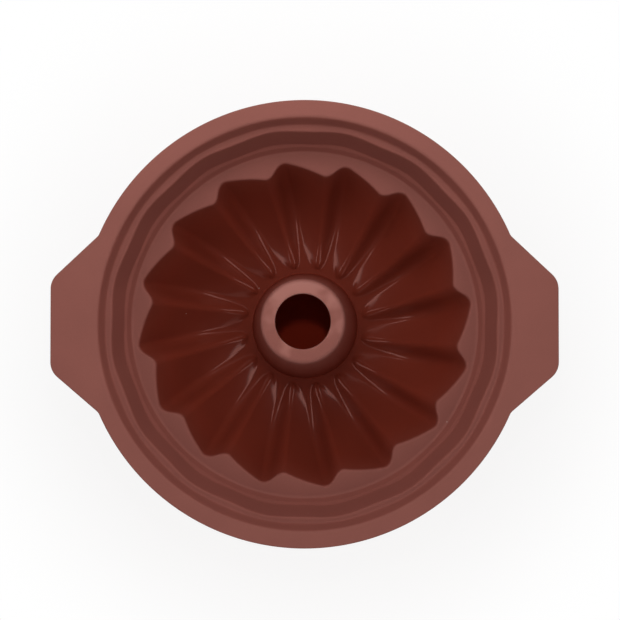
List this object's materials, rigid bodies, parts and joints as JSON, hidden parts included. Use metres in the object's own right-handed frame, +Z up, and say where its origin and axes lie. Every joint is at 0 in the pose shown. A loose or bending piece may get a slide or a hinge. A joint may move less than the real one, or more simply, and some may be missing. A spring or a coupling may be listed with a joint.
{
  "type": "silicone fluted tube pan",
  "caption": "Round silicone cake mould with leaning flutes around a hollow centre tube, a stepped wavy collar and a flat rim flange with a bendable tab handle on either side.",
  "frame": {"origin": "on the table, under the middle of the centre tube", "axes": "+Z up along the tube's axis, +X to the right handle, +Y to the back"},
  "size_m": [0.2832, 0.25, 0.088],
  "materials": {
    "matt_silicone": "matte",
    "satin_silicone": "satin"
  },
  "bodies": {
    "pan": {"rim_flange": "matt_silicone", "rim_step": "satin_silicone", "collar_wall": "satin_silicone", "shelf_step": "satin_silicone", "flute_shelf": "satin_silicone", "flute_01": "satin_silicone", "flute_02": "satin_silicone", "flute_03": "satin_silicone", "flute_04": "satin_silicone", "flute_05": "satin_silicone", "flute_06": "satin_silicone", "flute_07": "satin_silicone", "flute_08": "satin_silicone", "flute_09": "satin_silicone", "flute_10": "satin_silicone", "flute_11": "satin_silicone", "flute_12": "satin_silicone", "flute_13": "satin_silicone", "flute_14": "satin_silicone", "flute_15": "satin_silicone", "flute_16": "satin_silicone", "floor_ring": "satin_silicone", "centre_tube": "satin_silicone", "tube_lip": "satin_silicone"},
    "left_tab": {"left_handle": "matt_silicone"},
    "right_tab": {"right_handle": "matt_silicone"}
  },
  "joints": [
    {"name": "left_tab_flex", "type": "hinge", "parent": "pan", "child": "left_tab", "pos_m": [-0.125, 0, 0.0868], "axis": [0, 1, 0], "range_deg": [-80, 80], "stiffness_Nm_per_rad": 0.02},
    {"name": "right_tab_flex", "type": "hinge", "parent": "pan", "child": "right_tab", "pos_m": [0.125, 0, 0.0868], "axis": [0, -1, 0], "range_deg": [-80, 80], "stiffness_Nm_per_rad": 0.02}
  ]
}
